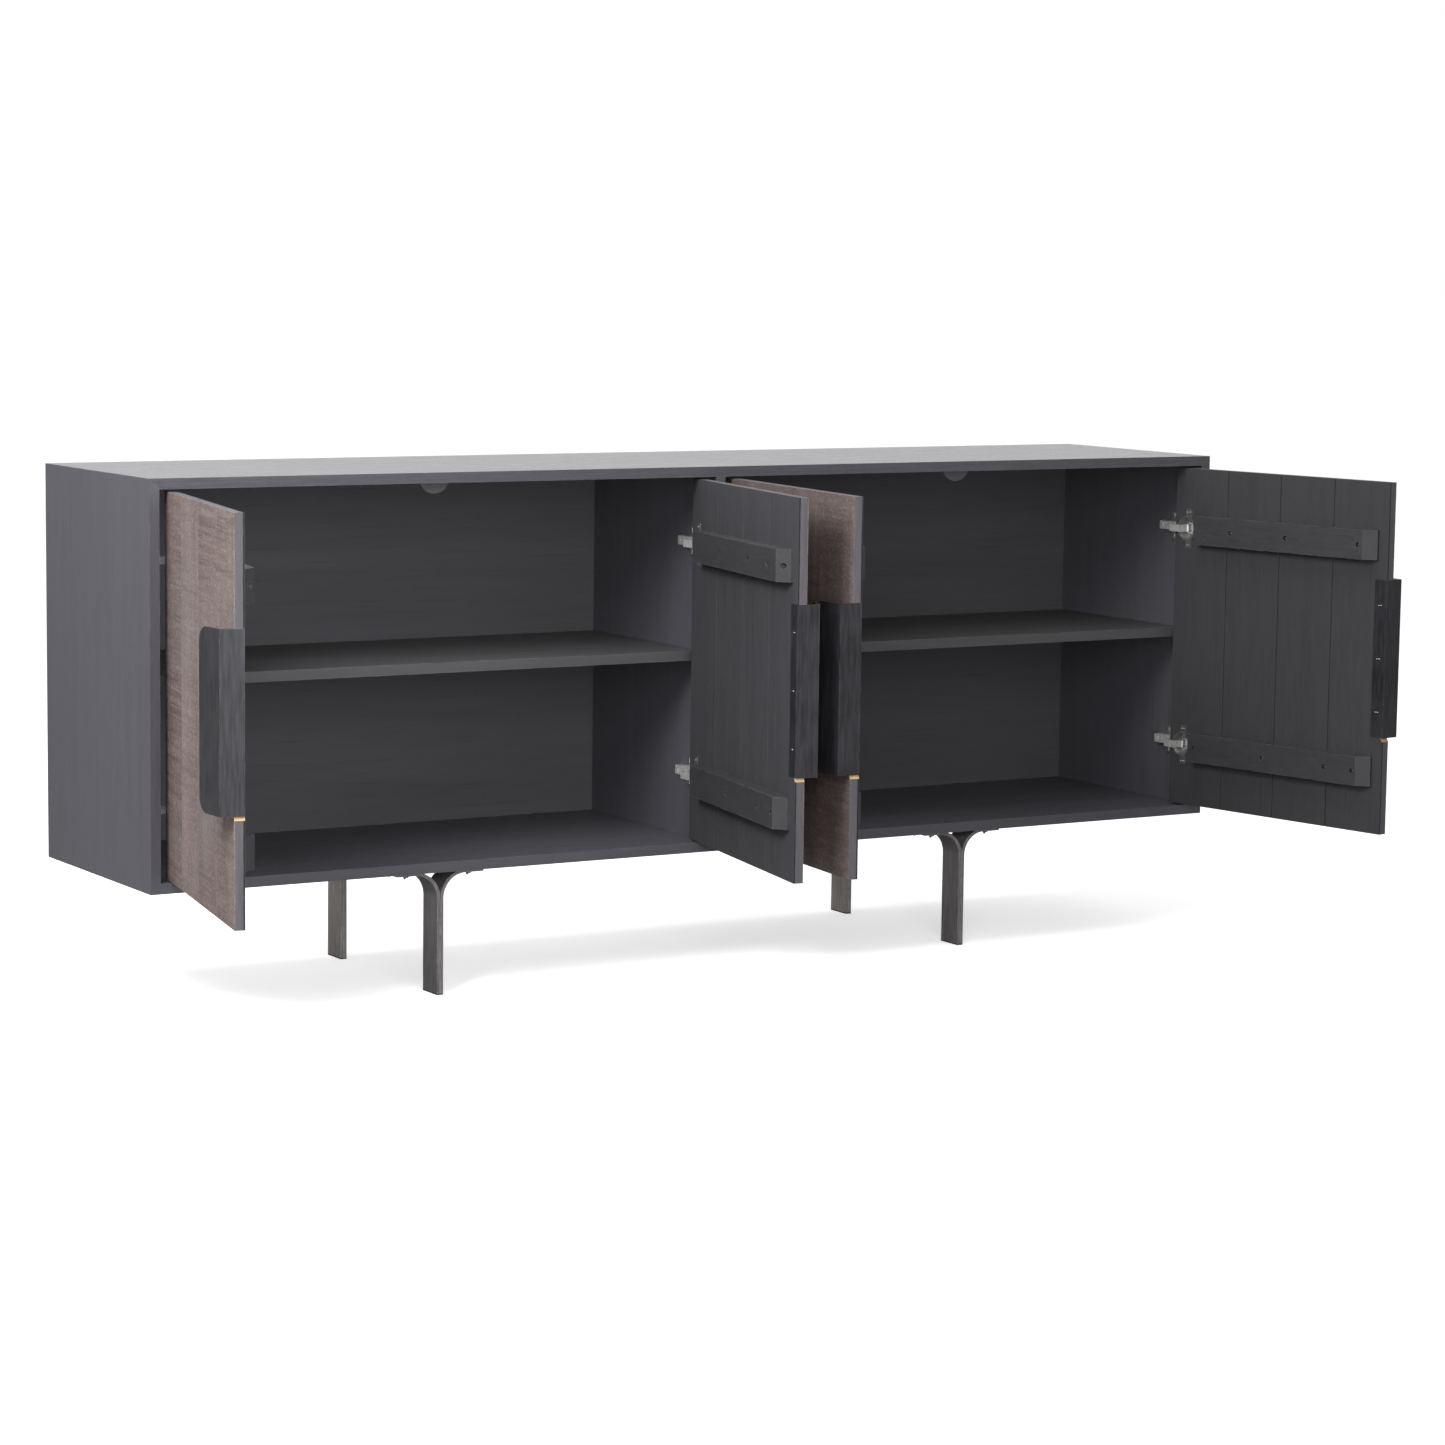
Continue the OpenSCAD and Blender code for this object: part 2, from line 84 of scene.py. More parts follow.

# Radius and segments of the small round on the arrises of each kind of piece
ROUNDS = {
    "board": (0.9 * MM, 2),
    "inner_board": (0.8 * MM, 2),
    "tab": (0.6 * MM, 2),
    "plank": (0.5 * MM, 2),
    "cleat": (1.0 * MM, 2),
    "handle": (0.8 * MM, 3),
    "leg": (0.7 * MM, 3),
    "glide": (0.4 * MM, 2),
    "pin": (0.3 * MM, 2),
    "pressing": (0.25 * MM, 2),
    "arm": (0.6 * MM, 3),
}
FLATTEST_ROUNDED = math.radians(32)                   # edges that turn less than this stay sharp


def scaled(colour, factor):
    return tuple(factor * v for v in colour)


# --- node graphs -------------------------------------------------------------

class Graph:
    """A material's node tree, with short calls for the nodes that the finishes share."""

    def __init__(self, name, metallic=0.0, specular=0.5):
        self.material = bpy.data.materials.new(name)
        self.material.use_nodes = True
        self.tree = self.material.node_tree
        self.shader = self.tree.nodes["Principled BSDF"]
        self.shader.inputs["Metallic"].default_value = metallic
        self.shader.inputs["Specular IOR Level"].default_value = specular
        self.place = self.add("ShaderNodeTexCoord").outputs["Object"]

    def add(self, kind, **settings):
        node = self.tree.nodes.new(kind)
        for key, value in settings.items():
            setattr(node, key, value)
        return node

    def feed(self, socket, value):
        """Puts a number, a tuple or another node's output into a socket."""
        if isinstance(value, bpy.types.NodeSocket):
            self.tree.links.new(value, socket)
        else:
            socket.default_value = value

    def math(self, operation, a, b=0.0):
        node = self.add("ShaderNodeMath", operation=operation)
        self.feed(node.inputs[0], a)
        self.feed(node.inputs[1], b)
        return node.outputs[0]

    def times(self, a, b):
        return self.math("MULTIPLY", a, b)

    def blend(self, a, share_a, b, share_b):
        """A weighted sum of two values."""
        return self.math("ADD", self.times(a, share_a), self.times(b, share_b))

    def turned(self, place, centre, angle):
        """The place turned about the vertical line through centre."""
        node = self.add("ShaderNodeVectorRotate", rotation_type="Z_AXIS")
        self.feed(node.inputs["Vector"], place)
        self.feed(node.inputs["Center"], centre)
        self.feed(node.inputs["Angle"], angle)
        return node.outputs[0]

    def stretched(self, place, scale, shift=(0, 0, 0)):
        node = self.add("ShaderNodeMapping")
        self.feed(node.inputs["Vector"], place)
        self.feed(node.inputs["Scale"], scale)
        self.feed(node.inputs["Location"], shift)
        return node.outputs[0]

    def axis(self, place, name):
        node = self.add("ShaderNodeSeparateXYZ")
        self.feed(node.inputs[0], place)
        return node.outputs["XYZ".index(name)]

    def noise(self, place, scale, detail=4.0, roughness=0.55, distortion=0.0):
        node = self.add("ShaderNodeTexNoise")
        self.feed(node.inputs["Vector"], place)
        self.feed(node.inputs["Scale"], scale)
        self.feed(node.inputs["Detail"], detail)
        self.feed(node.inputs["Roughness"], roughness)
        self.feed(node.inputs["Distortion"], distortion)
        return node.outputs[0]

    def span(self, value, start, end, to_start=0.0, to_end=1.0):
        """Maps start..end to to_start..to_end, and holds the ends."""
        node = self.add("ShaderNodeMapRange", clamp=True)
        for socket, number in zip(node.inputs, (value, start, end, to_start, to_end)):
            self.feed(socket, number)
        return node.outputs[0]

    def colours(self, value, *stops):
        """A colour ramp; each stop is (position, colour)."""
        node = self.add("ShaderNodeValToRGB")
        ramp = node.color_ramp
        while len(ramp.elements) < len(stops):
            ramp.elements.new(0.5)
        for element, (position, colour) in zip(ramp.elements, stops):
            element.position = position
            element.color = (*colour, 1)
        self.feed(node.inputs[0], value)
        return node.outputs[0]

    def mixed(self, factor, a, b):
        node = self.add("ShaderNodeMix", data_type="RGBA")
        self.feed(node.inputs[0], factor)
        for socket, colour in ((node.inputs[6], a), (node.inputs[7], b)):
            self.feed(socket, colour if isinstance(colour, bpy.types.NodeSocket) else (*colour, 1))
        return node.outputs[2]

    def bump(self, height, distance, strength=1.0):
        node = self.add("ShaderNodeBump")
        self.feed(node.inputs["Height"], height)
        self.feed(node.inputs["Distance"], distance)
        self.feed(node.inputs["Strength"], strength)
        return node.outputs[0]

    def worn_edge(self, radius):
        """1 on the arrises of a piece and 0 on its faces."""
        rounded = self.add("ShaderNodeBevel", samples=4)
        self.feed(rounded.inputs["Radius"], radius)
        facing = self.add("ShaderNodeVectorMath", operation="DOT_PRODUCT")
        self.feed(facing.inputs[0], rounded.outputs[0])
        self.feed(facing.inputs[1], self.add("ShaderNodeNewGeometry").outputs["Normal"])
        return self.span(facing.outputs["Value"], 0.995, 0.86)

    def finish(self, colour, roughness, normal):
        self.feed(self.shader.inputs["Base Color"], colour)
        self.feed(self.shader.inputs["Roughness"], roughness)
        self.feed(self.shader.inputs["Normal"], normal)
        return self.material


# --- wood --------------------------------------------------------------------

GRAIN_AXES = {"x": (1, 12, 12), "y": (12, 1, 12), "z": (12, 12, 1)}


def grain(g, place, along, shift):
    """Three scales of wood figure: broad bands, fibres and open pores, each 0 to 1."""
    lines = g.stretched(place, GRAIN_AXES[along], shift)
    bands = g.noise(lines, scale=2.2, detail=5, roughness=0.6, distortion=0.6)
    fibres = g.noise(lines, scale=17, detail=6, roughness=0.65, distortion=0.3)
    finer = tuple(v * v for v in GRAIN_AXES[along])
    pores = g.noise(g.stretched(place, finer, shift), scale=6, detail=2, roughness=0.5)
    return bands, fibres, g.span(pores, 0.62, 0.74)


def stained_wood(name, along, stain, shift=(0, 0, 0), sheen=(0.42, 0.6)):
    """Charcoal stain over open-pored wood: the grain shows faintly, and the arrises are rubbed."""
    dark, light = stain
    g = Graph(name, specular=0.45)
    bands, fibres, pores = grain(g, g.place, along, shift)
    colour = g.colours(g.blend(bands, 0.55, fibres, 0.45), (0.34, dark), (0.66, light))
    cloud = g.noise(g.place, scale=3.1, detail=3, roughness=0.5)
    colour = g.mixed(g.span(cloud, 0.35, 0.7, to_end=0.22), colour, light)
    colour = g.mixed(g.times(pores, 0.5), colour, scaled(dark, 0.45))
    dust = g.noise(g.place, scale=240, detail=2, roughness=0.6)
    colour = g.mixed(g.span(dust, 0.66, 0.78, to_end=0.12), colour, RUBBED_STAIN)
    patchy = g.span(g.noise(g.place, scale=38, detail=3), 0.4, 0.62)
    rubbed = g.times(g.worn_edge(1.6 * MM), patchy)
    colour = g.mixed(g.times(rubbed, 0.5), colour, RUBBED_STAIN)
    roughness = g.span(fibres, 0.3, 0.7, *sheen)
    relief = g.math("SUBTRACT", fibres, pores)
    return g.finish(colour, roughness, g.bump(relief, 0.16 * MM, strength=0.6))


def closed_angle(door):
    """The turn about Z that would bring a door from where it rests to shut."""
    joint = joints["door_" + door]
    return math.radians(joint["range_deg"][0] * joint["axis"][2])


def closing(door):
    """The same turn about the door's pins, as a matrix."""
    pivot = Vector(joints["door_" + door]["pos_m"])
    turn = Matrix.Rotation(closed_angle(door), 4, "Z")
    return Matrix.Translation(pivot) @ turn @ Matrix.Translation(-pivot)


def shut_box(node, door):
    """A door node's lowest and highest corners with the door shut."""
    turn = closing(door)
    points = [turn @ v.co for v in nodes[node].data.vertices]
    return (Vector(min(p[i] for p in points) for i in range(3)),
            Vector(max(p[i] for p in points) for i in range(3)))


def saw_marks(g, place, shift):
    """Lines across a plank, 0 to 1, in patches where the blade bit deeper."""
    fine = g.noise(g.stretched(place, (14, 1, 240), shift), scale=1, detail=3, roughness=0.6, distortion=0.4)
    coarse = g.noise(g.stretched(place, (5, 1, 120), shift), scale=1, detail=2, roughness=0.5, distortion=0.3)
    patches = g.noise(g.stretched(place, (3, 1, 5), shift), scale=1.2, detail=2)
    bite = g.span(patches, 0.40, 0.62, to_start=0.25)
    return g.times(g.span(g.blend(fine, 0.45, coarse, 0.55), 0.36, 0.64), bite)


def sawn_brown(g, place, shift, tone_and_shade, figure, pores, sawn):
    """The outer face's colour: brown figure, dark saw marks, torn fibres and greyed patches."""
    # the browns are scaled by the plank's random tone and by its door's painted shade
    dark, light = (scaled(shade, tone_and_shade) for shade in SAWN_BROWN)
    brown = g.colours(figure, (0.30, dark), (0.70, light))
    brown = g.mixed(g.times(sawn, 0.85), brown, scaled(dark, 0.6))
    torn = g.noise(g.stretched(place, (1, 1, 1.6), shift), scale=210, detail=3, roughness=0.7)
    brown = g.mixed(g.span(torn, 0.36, 0.62, to_start=0.36, to_end=0.0), brown, scaled(dark, 0.55))
    brown = g.mixed(g.span(torn, 0.52, 0.72, to_end=0.5), brown, scaled(light, 1.25))
    brown = g.mixed(g.times(pores, 0.4), brown, scaled(dark, 0.6))
    greyed = g.span(g.noise(place, scale=7, detail=3), 0.45, 0.7, to_end=0.35)
    return g.mixed(greyed, brown, WEATHERED), light


def plank_wood(door, number, rng):
    """A door plank: rough-sawn and grey-brown outside, grey on its edges, charcoal inside."""
    g = Graph(f"plank_{door}_{number}", specular=0.3)
    pivot = tuple(joints["door_" + door]["pos_m"])
    place = g.turned(g.place, pivot, closed_angle(door))      # measured with the door shut
    shift = tuple(rng.uniform(-9, 9) for _ in range(3))
    # a random tone for the plank, times its door's painted shade
    tone_and_shade = rng.uniform(0.86, 1.14) * DOOR_PAINTED_SHADE[door]
    bands, fibres, pores = grain(g, place, "z", shift)
    figure = g.blend(bands, 0.6, fibres, 0.4)
    sawn = saw_marks(g, place, shift)
    brown, light = sawn_brown(g, place, shift, tone_and_shade, figure, pores, sawn)
    edge = g.colours(figure, (0.30, EDGE_GREY[0]), (0.70, EDGE_GREY[1]))
    # the inner charcoal is darkened by the door's painted shade as well
    dark_stain_in_shade, light_stain_in_shade = (scaled(shade, DOOR_PAINTED_SHADE[door]) for shade in CHARCOAL)
    stain = g.colours(figure, (0.32, dark_stain_in_shade), (0.68, light_stain_in_shade))
    stain = g.mixed(g.times(pores, 0.35), stain, GROOVE_BLACK)

    # The brown ends at the outer arris; the charcoal stain covers the inner face and its V-grooves
    depth = g.math("SUBTRACT", g.axis(place, "Y"), FRONT_Y)
    ragged = g.math("ADD", depth, g.times(g.noise(place, scale=60, detail=3), 1.2 * MM))
    colour = g.mixed(g.span(ragged, 1.3 * MM, 1.7 * MM), brown, edge)
    rubbed = g.times(g.worn_edge(1.2 * MM), g.span(g.noise(place, scale=55, detail=2), 0.42, 0.6))
    colour = g.mixed(g.times(rubbed, 0.45), colour, light)
    inside = g.span(ragged, 12.0 * MM, 12.5 * MM)
    groove = g.span(depth, DOOR_T - 0.35 * MM, DOOR_T - 0.8 * MM)
    colour = g.mixed(inside, colour, g.mixed(groove, stain, GROOVE_BLACK))
    if number == PLANKS:
        colour = g.mixed(slope_below_handle(g, place, door), colour, RAW_WOOD)

    outside = g.span(depth, 0.6 * MM, 0.2 * MM)
    relief = g.math("ADD", g.times(g.times(sawn, outside), -1.4), fibres)
    relief = g.math("SUBTRACT", relief, pores)
    roughness = g.span(fibres, 0.3, 0.7, 0.52, 0.78)
    return g.finish(colour, roughness, g.bump(relief, 0.3 * MM, strength=0.75))


def slope_below_handle(g, place, door):
    """1 on the bare sloping cut under the handle, found by its plane, and 0 elsewhere."""
    ledge, sheet = 5 * MM, 3 * MM                     # the slope's height and its depth into the plank
    handle_low = shut_box(f"door_{door}_handle", door)[0]
    plank_low, plank_high = shut_box(f"door_{door}_plank_{PLANKS}", door)
    hand, free_x = (1, plank_high.x) if door in HUNG_LEFT else (-1, plank_low.x)
    inward = g.times(g.math("SUBTRACT", free_x, g.axis(place, "X")), hand)
    below = g.math("SUBTRACT", handle_low.z, g.axis(place, "Z"))
    off_plane = g.math("ADD", g.times(inward, ledge / sheet), below)
    off_plane = g.math("ABSOLUTE", g.math("SUBTRACT", off_plane, ledge))
    on_plane = g.span(off_plane, 0.5 * MM, 0.3 * MM)
    near = g.times(g.span(inward, sheet + 0.3 * MM, sheet + 0.1 * MM), g.span(below, -0.3 * MM, -0.1 * MM))
    return g.times(on_plane, near)


# --- metal and plastic -------------------------------------------------------

def black_paint(name, shades):
    """Blackened steel: faint vertical rolling streaks, rubbed bends and a satin, slightly patchy gloss."""
    dark, light = shades
    g = Graph(name, metallic=0.35)
    streaks = g.noise(g.stretched(g.place, GRAIN_AXES["z"]), scale=22, detail=5, roughness=0.6)
    clouds = g.noise(g.place, scale=19, detail=4, roughness=0.6)
    base = g.colours(streaks, (0.35, dark), (0.72, light))
    base = g.mixed(g.span(clouds, 0.45, 0.75, to_end=0.35), base, light)
    specks = g.noise(g.place, scale=420, detail=2, roughness=0.6)
    base = g.mixed(g.span(specks, 0.70, 0.78, to_end=0.5), base, scaled(light, 2.4))
    rubbed = g.times(g.worn_edge(1.4 * MM), g.span(g.noise(g.place, scale=80, detail=3), 0.42, 0.6))
    base = g.mixed(g.times(rubbed, 0.55), base, scaled(light, 3.2))
    roughness = g.span(clouds, 0.3, 0.7, 0.34, 0.52)
    relief = g.math("ADD", streaks, g.times(specks, 0.35))
    return g.finish(base, roughness, g.bump(relief, 0.08 * MM, strength=0.5))


def nickel_plate(name, base, metallic):
    """Nickel on pressed steel, with drawing lines, dull spots and a little grime."""
    g = Graph(name, metallic=metallic)
    drawn = g.noise(g.stretched(g.place, (60, 60, 6)), scale=12, detail=4)
    dull = g.noise(g.place, scale=130, detail=3)
    colour = g.colours(dull, (0.3, scaled(base, 0.8)), (0.62, base))
    grime = g.span(g.noise(g.place, scale=45, detail=3), 0.55, 0.72, to_end=0.25)
    colour = g.mixed(grime, colour, NICKEL_GRIME)
    roughness = g.span(drawn, 0.3, 0.7, 0.24, 0.40)
    return g.finish(colour, roughness, g.bump(drawn, 0.03 * MM, strength=0.4))


def moulded_plastic(name, colour):
    g = Graph(name, specular=0.4)
    fine = g.noise(g.place, scale=900, detail=2)
    tint = g.noise(g.place, scale=60, detail=3)
    tint = g.colours(tint, (0.3, colour), (0.7, scaled(colour, 1.5)))
    return g.finish(tint, g.span(fine, 0.3, 0.7, 0.5, 0.7), g.bump(fine, 0.05 * MM, strength=0.5))


# --- dressing the CAD nodes --------------------------------------------------

def dress(node, material, kind=None):
    """Gives a CAD node its material and, for a kind in ROUNDS, small rounds on its arrises."""
    obj = nodes[node]
    obj.data.materials.clear()
    obj.data.materials.append(material)
    if kind:
        modifier = obj.modifiers.new("rounded_edges", "BEVEL")
        modifier.width, modifier.segments = ROUNDS[kind]
        modifier.limit_method = "ANGLE"
        modifier.angle_limit = FLATTEST_ROUNDED
        modifier.harden_normals = True


def dress_case():
    upright = stained_wood("case_wood_1", "z", CASE_STAIN, shift=(3.1, 1.7, 2.3))
    bottom = stained_wood("case_wood_2", "x", CASE_STAIN, shift=(6.2, 3.4, 4.6))
    right = stained_wood("case_wood_3", "z", CASE_STAIN, shift=(9.3, 5.1, 6.9))
    dress("top_panel", stained_wood("top_wood", "x", CASE_STAIN, sheen=(0.2, 0.34)), "board")
    dress("side_panel_left", upright, "board")
    dress("bottom_panel", bottom, "board")
    dress("side_panel_right", right, "board")
    dress("centre_divider", upright, "inner_board")
    shelf = stained_wood("shelf_wood", "x", SHELF_STAIN, shift=(5, 2, 8), sheen=(0.5, 0.7))
    dress("shelf_left", shelf, "inner_board")
    dress("shelf_right", shelf, "inner_board")
    dress("back_panel", stained_wood("back_wood", "x", BACK_STAIN, shift=(1, 7, 4), sheen=(0.6, 0.75)))
    dress("ceiling_tabs", stained_wood("tab_wood", "x", TAB_STAIN), "tab")


def dress_doors():
    rng = random.Random(7)
    steel = black_paint("handle_steel", HANDLE_STEEL)
    for door in DOORS:
        for number in range(1, PLANKS + 1):
            dress(f"door_{door}_plank_{number}", plank_wood(door, number, rng), "plank")
        shift = tuple(rng.uniform(-9, 9) for _ in range(3))
        wood = stained_wood(f"cleat_wood_{door}", "y", CLEAT_STAIN, shift)
        dress(f"door_{door}_cleat_upper", wood, "cleat")
        dress(f"door_{door}_cleat_lower", wood, "cleat")
        dress(f"door_{door}_handle", steel, "handle")


def dress_metal():
    # both leg steels carry painted light, the rear pair painted lighter than the front
    steel = {"front": black_paint("leg_steel_painted_light", FRONT_LEG_STEEL_PAINTED_LIGHT),
             "rear": black_paint("rear_leg_steel_painted_light", REAR_LEG_STEEL_PAINTED_LIGHT)}
    for row in ("front", "rear"):
        for side in ("left", "right"):
            dress(f"leg_{row}_{side}", steel[row], "leg")
    dress("leg_glides", moulded_plastic("glide_plastic", GLIDE_BLACK), "glide")
    bright = nickel_plate("nickel", BRIGHT_NICKEL, metallic=0.6)
    pressed = nickel_plate("pressed_nickel", PRESSED_NICKEL, metallic=0.9)
    dress("shelf_pins", bright, "pin")
    dress("hinge_plates", pressed, "pressing")
    dress("hinge_arms", bright, "arm")
    for door in DOORS:
        dress(f"door_{door}_hinge_cups", pressed, "pressing")
        dress(f"door_{door}_hinge_pins", bright)
        make_screws(f"door_{door}_screws", "door_" + door, bright, closing(door))
    make_screws("case_screws", "case", bright)
    make_screws("leg_screws", "case", steel["front"])


# --- screws ------------------------------------------------------------------

# A screw's outline: radii as shares of the head's radius, and heights below its top
CROWN_R, SHOULDER_R, SHANK_R, POINT_R = 0.72, 0.93, 0.5, 0.1
RIM_DROP = 0.5 * MM
SHOULDER_DROP = 0.35 * RIM_DROP
HEAD_DROP = 2.2 * RIM_DROP
TURNS = 20                   # sides of its rings
CROSS_ARM, CROSS_WIDTH = 0.56, 0.14
FLOOR_ARM, FLOOR_WIDTH = 0.6, 0.7        # the recess's bottom, as shares of its mouth
CROSS_DEPTH = 0.75 * MM
SHARP_ANGLE = math.radians(35)


def loose_parts(mesh):
    """The stretches of a mesh that share no vertex, each as a list of vertex positions.

    The CAD meshes come in unjoined across their faces, so here each stretch is one face of a screw."""
    parent = list(range(len(mesh.vertices)))

    def root(i):
        while parent[i] != i:
            parent[i] = parent[parent[i]]
            i = parent[i]
        return i

    for edge in mesh.edges:
        a, b = edge.vertices
        parent[root(a)] = root(b)
    lumps = {}
    for vertex in mesh.vertices:
        lumps.setdefault(root(vertex.index), []).append(vertex.co.copy())
    return list(lumps.values())


def screw_frame(points):
    """A whole screw's head radius, length, and the matrix that puts one pointing down Z in its place."""
    lowest = [min(p[i] for p in points) for i in range(3)]
    highest = [max(p[i] for p in points) for i in range(3)]
    size = [b - a for a, b in zip(lowest, highest)]
    axis = size.index(max(size))
    across = (axis + 1) % 3
    middle = [(a + b) / 2 for a, b in zip(lowest, highest)]

    def width(end):
        near = [p for p in points if abs(p[axis] - end) < 0.1 * MM]
        return max(abs(p[across] - middle[across]) for p in near)

    up = 1 if width(highest[axis]) > width(lowest[axis]) else -1
    head = Vector(middle)
    head[axis] = highest[axis] if up > 0 else lowest[axis]
    direction = Vector((0, 0, 0))
    direction[axis] = up
    place = Matrix.Translation(head) @ direction.to_track_quat("Z", "Y").to_matrix().to_4x4()
    return size[across] / 2, size[axis], place


def ring(bm, radius, z):
    angles = [math.tau * k / TURNS for k in range(TURNS)]
    return [bm.verts.new((radius * math.cos(a), radius * math.sin(a), z)) for a in angles]


def cross(bm, arm, width, z):
    """The outline of a cross with four equal arms."""
    corners = [(arm, -width), (arm, width), (width, width)]
    points = []
    for quarter in range(4):
        turn = Matrix.Rotation(quarter * math.pi / 2, 2)
        points += [turn @ Vector(corner) for corner in corners]
    return [bm.verts.new((x, y, z)) for x, y in points]


def join_rings(bm, upper, lower):
    count = len(upper)
    for k in range(count):
        after = (k + 1) % count
        bm.faces.new((upper[k], lower[k], lower[after], upper[after]))


def add_screw(bm, radius, length, place):
    """A cross-recessed pan head on a plain shank, its top at the origin of its place."""
    first = len(bm.verts)
    outline = ((CROWN_R, 0), (SHOULDER_R, -SHOULDER_DROP), (1, -RIM_DROP), (1, -HEAD_DROP),
               (SHANK_R, -HEAD_DROP), (SHANK_R, -length + radius / 2), (POINT_R, -length))
    rings = [ring(bm, share * radius, z) for share, z in outline]
    for upper, lower in zip(rings, rings[1:]):
        join_rings(bm, upper, lower)
    bm.faces.new(rings[-1][::-1])
    arm, width = CROSS_ARM * radius, CROSS_WIDTH * radius
    mouth = cross(bm, arm, width, 0)
    floor = cross(bm, FLOOR_ARM * arm, FLOOR_WIDTH * width, -CROSS_DEPTH)
    join_rings(bm, mouth, floor)
    bm.faces.new(floor)
    rims = [bm.edges.get((loop[k - 1], loop[k])) for loop in (rings[0], mouth) for k in range(len(loop))]
    bmesh.ops.triangle_fill(bm, edges=rims, use_beauty=True, normal=(0, 0, 1))
    bm.verts.ensure_lookup_table()
    bmesh.ops.transform(bm, matrix=place, verts=bm.verts[first:])


def make_screws(node, body, material, shut=None):
    """Replaces a node of plain screws by cross-recessed ones.

    Known fault: loose_parts gives the five faces of each screw one by one, so five screws are built
    for each real one. Most of them lie across its axis, and none has its full size."""
    shut = shut or Matrix.Identity(4)                 # the turn that squares the node up with the axes
    bm = bmesh.new()
    rng = random.Random(node)
    for points in loose_parts(nodes[node].data):
        radius, length, place = screw_frame([shut @ p for p in points])
        twist = Matrix.Rotation(rng.uniform(0, math.pi), 4, "Z")
        add_screw(bm, radius, length, shut.inverted() @ place @ twist)
    bmesh.ops.recalc_face_normals(bm, faces=bm.faces)
    mesh = bpy.data.meshes.new(node + "_set")
    bm.to_mesh(mesh)
    bm.free()
    mesh.materials.append(material)
    obj = bpy.data.objects.new(node + "_set", mesh)
    bpy.context.scene.collection.objects.link(obj)
    for polygon in mesh.polygons:
        polygon.use_smooth = True
    mesh.set_sharp_from_angle(angle=SHARP_ANGLE)
    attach(obj, body)
    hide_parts(node)


# --- stage -------------------------------------------------------------------

SENSOR, LENS = 36, 99.14                              # in millimetres
CAMERA_PLACE = (-2.9940, -5.1975, 1.0833)
CAMERA_YAW, CAMERA_PITCH, CAMERA_ROLL = 30.941, 6.951, 0.740    # in degrees
SKY_LIGHT = 0.28                                      # the sky's strength as light on the pieces
FLOOR_REACH = 60                                      # half the floor's side, in metres
FLOOR_GREY = (0.36, 0.36, 0.36), (0.39, 0.39, 0.39)   # its colour to everything but the camera
FLOOR_SEEN = (2.0, 2.0, 2.0)                          # its colour to the camera, with FLOOR_GLOW added
FLOOR_GLOW = 0.45
SOFTBOXES = (                                         # name, place, target, size, power, colour
    ("key", (-2.1, -1.1, 1.9), (-0.6, 0, 0.5), (1.2, 1.0), 55, (1, 0.99, 0.985)),
    ("fill", (-1.1, -2.6, 0.95), (-0.5, 0.1, 0.5), (1.4, 1.2), 26, (1, 1, 1)),
    ("top", (-0.5, -0.2, 3.4), (-0.2, -0.1, 0), (2.2, 1.4), 30, (1, 1, 1)),
)


def make_camera():
    data = bpy.data.cameras.new("camera")
    camera = bpy.data.objects.new("camera", data)
    bpy.context.scene.collection.objects.link(camera)
    data.sensor_width = SENSOR
    data.lens = LENS
    data.clip_start, data.clip_end = 0.1, 200
    yaw, pitch, roll = (math.radians(a) for a in (CAMERA_YAW, CAMERA_PITCH, CAMERA_ROLL))
    ahead = Vector((math.sin(yaw) * math.cos(pitch), math.cos(yaw) * math.cos(pitch), -math.sin(pitch)))
    level = Vector((math.cos(yaw), -math.sin(yaw), 0))
    upright = level.cross(ahead)
    right = math.cos(roll) * level + math.sin(roll) * upright
    up = -math.sin(roll) * level + math.cos(roll) * upright
    turn = Matrix((right, up, -ahead)).transposed().to_4x4()
    camera.matrix_world = Matrix.Translation(CAMERA_PLACE) @ turn
    bpy.context.scene.camera = camera


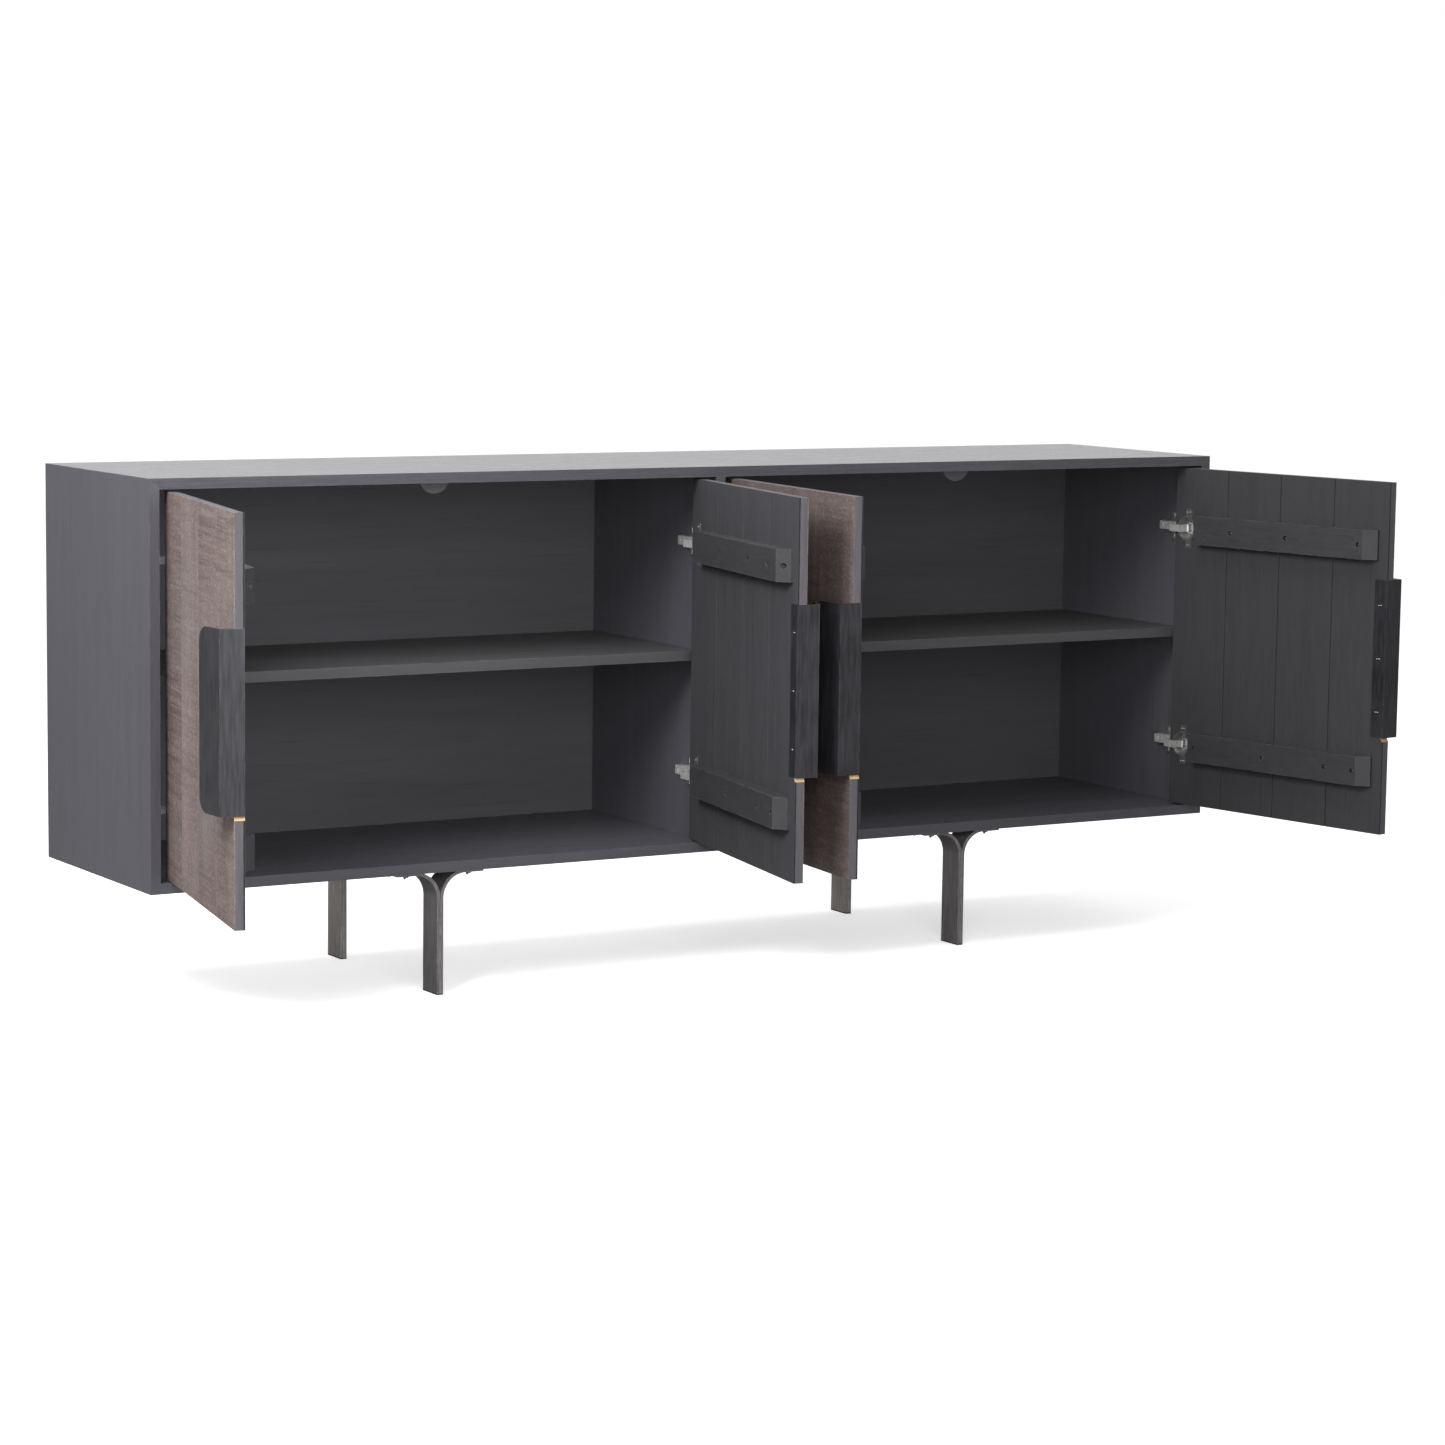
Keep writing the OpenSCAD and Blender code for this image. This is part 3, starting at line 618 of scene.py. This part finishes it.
def make_softbox(name, place, target, size, power, colour):
    data = bpy.data.lights.new(name, "AREA")
    data.shape = "RECTANGLE"
    data.size, data.size_y = size
    data.energy = power
    data.color = colour
    lamp = bpy.data.objects.new(name, data)
    bpy.context.scene.collection.objects.link(lamp)
    lamp.location = place
    lamp.visible_camera = False
    lamp.rotation_euler = (Vector(target) - Vector(place)).to_track_quat("-Z", "Y").to_euler()


def make_floor():
    """A pale floor that the camera sees as white but for its shadows."""
    mesh = bpy.data.meshes.new("floor")
    corners = [(FLOOR_REACH * x, FLOOR_REACH * y, 0) for x, y in ((-1, -1), (1, -1), (1, 1), (-1, 1))]
    mesh.from_pydata(corners, [], [(0, 1, 2, 3)])
    floor = bpy.data.objects.new("floor", mesh)
    bpy.context.scene.collection.objects.link(floor)
    g = Graph("floor_paint", specular=0.1)
    mottle = g.noise(g.place, scale=3, detail=3)
    seen = g.add("ShaderNodeLightPath").outputs["Is Camera Ray"]
    colour = g.colours(mottle, (0.3, FLOOR_GREY[0]), (0.7, FLOOR_GREY[1]))
    colour = g.mixed(seen, colour, FLOOR_SEEN)
    mesh.materials.append(g.finish(colour, g.span(mottle, 0.3, 0.7, 0.7, 0.8), g.bump(mottle, 0.05 * MM)))
    g.shader.inputs["Emission Color"].default_value = (1, 1, 1, 1)
    g.feed(g.shader.inputs["Emission Strength"], g.times(seen, FLOOR_GLOW))


def make_sky():
    """Full white to the eye, weaker as light."""
    world = bpy.data.worlds.new("studio")
    bpy.context.scene.world = world
    world.use_nodes = True
    tree = world.node_tree
    sky = tree.nodes["Background"]
    sky.inputs["Color"].default_value = (1, 1, 1, 1)
    dimmed = tree.nodes.new("ShaderNodeMapRange")
    dimmed.inputs["To Min"].default_value = 1.0
    dimmed.inputs["To Max"].default_value = SKY_LIGHT
    tree.links.new(tree.nodes.new("ShaderNodeLightPath").outputs["Is Diffuse Ray"], dimmed.inputs["Value"])
    tree.links.new(dimmed.outputs[0], sky.inputs["Strength"])


make_camera()
make_floor()
make_sky()
for softbox in SOFTBOXES:
    make_softbox(*softbox)
bpy.context.scene.view_settings.view_transform = "Standard"
dress_case()
dress_doors()
dress_metal()
